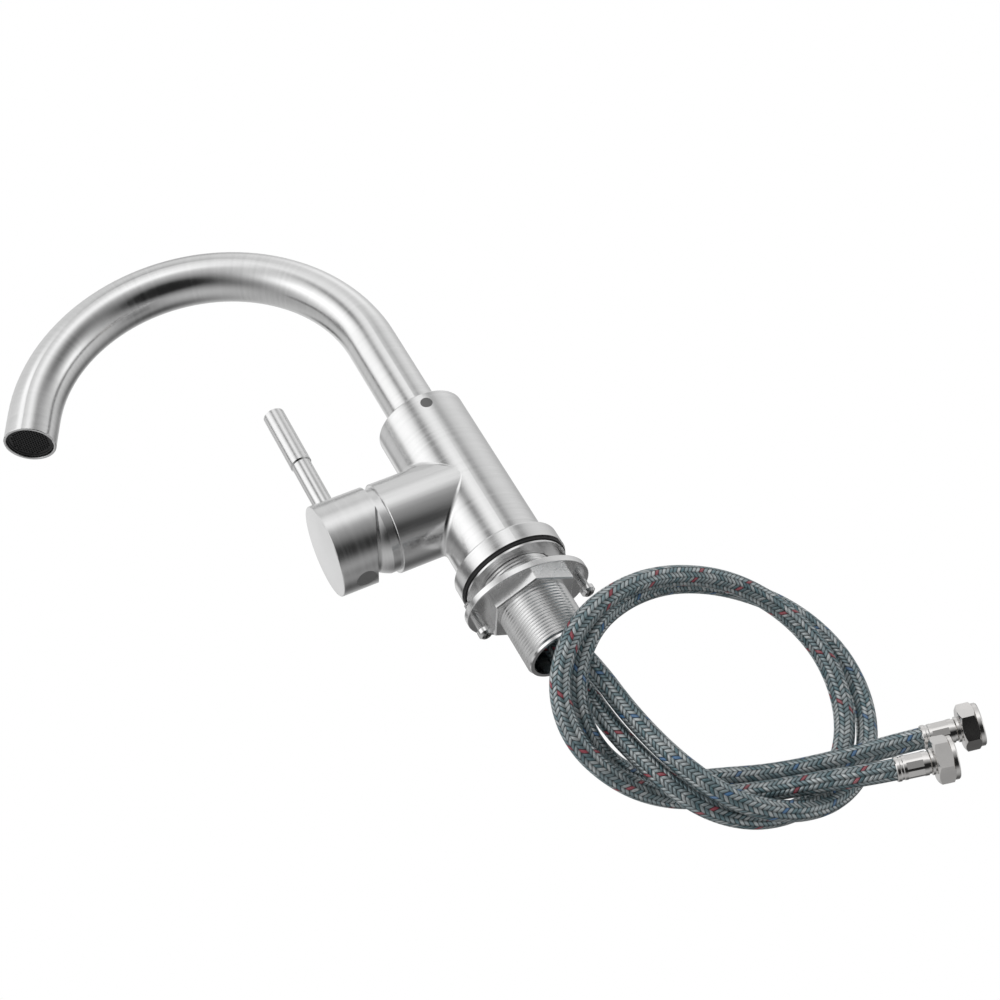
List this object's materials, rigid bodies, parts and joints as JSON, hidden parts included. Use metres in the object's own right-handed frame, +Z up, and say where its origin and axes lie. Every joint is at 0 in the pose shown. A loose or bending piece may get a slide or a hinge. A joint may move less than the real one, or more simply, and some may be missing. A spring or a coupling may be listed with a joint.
{
  "type": "single-hole lavatory faucet",
  "caption": "Single-hole lavatory faucet: upright round body, swivel gooseneck spout, drum handle with an upright lever, threaded shank with clamp nut, braided supply hoses.",
  "frame": {"origin": "centre of the deck plane under the gasket, on the axis of the body and shank", "axes": "+Z up along the body, -Y towards the handle and spout, +X to the right seen from behind the faucet"},
  "size_m": [0.0612, 0.3154, 0.4086],
  "materials": {
    "brushed_nickel": "satin, fine brushed lines round each turned piece",
    "raw_brass": "as machined",
    "polished_steel": "bright",
    "zinc_cast": "matt bright die-cast",
    "stainless": "turned",
    "braid": "grey braid of nylon and steel wire over a rubber hose",
    "black_rubber": "matt",
    "black_plastic": "matt",
    "white_plastic": "satin",
    "ceramic": "lapped ceramic",
    "grey_plastic": "satin"
  },
  "bodies": {
    "base": {"body": "brushed_nickel", "base_ring": "brushed_nickel", "deck_gasket": "black_rubber", "shank": "stainless", "spout_set_screw": "stainless", "set_screw_cap": "grey_plastic", "cartridge_cup": "white_plastic", "cartridge_base": "black_plastic", "cartridge_seals": "black_rubber", "fixed_disc": "ceramic", "cartridge_nut": "raw_brass", "bonnet": "brushed_nickel", "hot_inlet_stem": "raw_brass", "cold_inlet_stem": "raw_brass", "inlet_seals": "black_rubber", "hot_inner_ferrule": "polished_steel", "cold_inner_ferrule": "polished_steel", "hot_hose": "braid", "cold_hose": "braid", "hot_end_ferrule": "polished_steel", "cold_end_ferrule": "polished_steel", "hot_tailpiece": "polished_steel", "cold_tailpiece": "polished_steel", "hot_cone_washer": "black_rubber", "cold_cone_washer": "black_rubber"},
    "spout": {"spout_tube": "brushed_nickel", "spout_bushing": "raw_brass", "spout_o_rings": "black_rubber", "aerator_shell": "black_plastic", "aerator_honeycomb": "black_plastic", "aerator_screen": "stainless", "aerator_gasket": "black_rubber"},
    "turret": {"cartridge_turret": "white_plastic", "stem_pin": "stainless"},
    "sliding_disc": {"moving_disc": "ceramic", "disc_carrier": "white_plastic"},
    "handle": {"cartridge_stem": "stainless", "handle_drum": "brushed_nickel", "lever_rod": "brushed_nickel", "lever_grip": "brushed_nickel", "handle_grub_screw": "stainless", "handle_plug": "grey_plastic"},
    "clamp": {"clamp_washer": "stainless"},
    "clamp_nut": {"lock_nut": "zinc_cast"},
    "front_jack": {"jack_screw_front": "stainless"},
    "rear_jack": {"jack_screw_rear": "stainless"},
    "hot_nut": {"hot_hose_nut": "polished_steel"},
    "cold_nut": {"cold_hose_nut": "polished_steel"}
  },
  "joints": [
    {"name": "spout_swivel", "type": "hinge", "parent": "base", "child": "spout", "pos_m": [0, 0, 0.0947], "axis": [0, 0, 1], "continuous": true},
    {"name": "handle_turn", "type": "hinge", "parent": "base", "child": "turret", "pos_m": [0, -0.038, 0.0476], "axis": [0, -1, 0], "range_deg": [-45, 45]},
    {"name": "handle_lift", "type": "hinge", "parent": "turret", "child": "handle", "pos_m": [0, -0.038, 0.0476], "axis": [1, 0, 0], "range_deg": [0, 18]},
    {"name": "disc_slide", "type": "slide", "parent": "turret", "child": "sliding_disc", "axis": [0, 0, 1], "range_m": [0, 0.0042]},
    {"name": "clamp_travel", "type": "slide", "parent": "base", "child": "clamp", "axis": [0, 0, -1], "range_m": [0, 0.006]},
    {"name": "nut_spin", "type": "hinge", "parent": "clamp", "child": "clamp_nut", "pos_m": [0, 0, -0.0122], "axis": [0, 0, -1], "range_deg": [0, 1440]},
    {"name": "front_jack_travel", "type": "slide", "parent": "clamp_nut", "child": "front_jack", "axis": [0, 0, 1], "range_m": [-0.001, 0.0043]},
    {"name": "rear_jack_travel", "type": "slide", "parent": "clamp_nut", "child": "rear_jack", "axis": [0, 0, 1], "range_m": [-0.006, 0]},
    {"name": "hot_nut_spin", "type": "hinge", "parent": "base", "child": "hot_nut", "pos_m": [0.00231, 0.11438, -0.15613], "axis": [0.1973, 0.93, -0.31], "continuous": true},
    {"name": "cold_nut_spin", "type": "hinge", "parent": "base", "child": "cold_nut", "pos_m": [-0.00214, 0.13529, -0.14649], "axis": [0.2442, 0.9226, -0.2985], "continuous": true}
  ],
  "couplings": [
    {"joint": "disc_slide", "follows": "handle_lift", "m_per_rad": 0.013377},
    {"joint": "nut_spin", "follows": "clamp_travel", "rad_per_m": 4188.8}
  ]
}
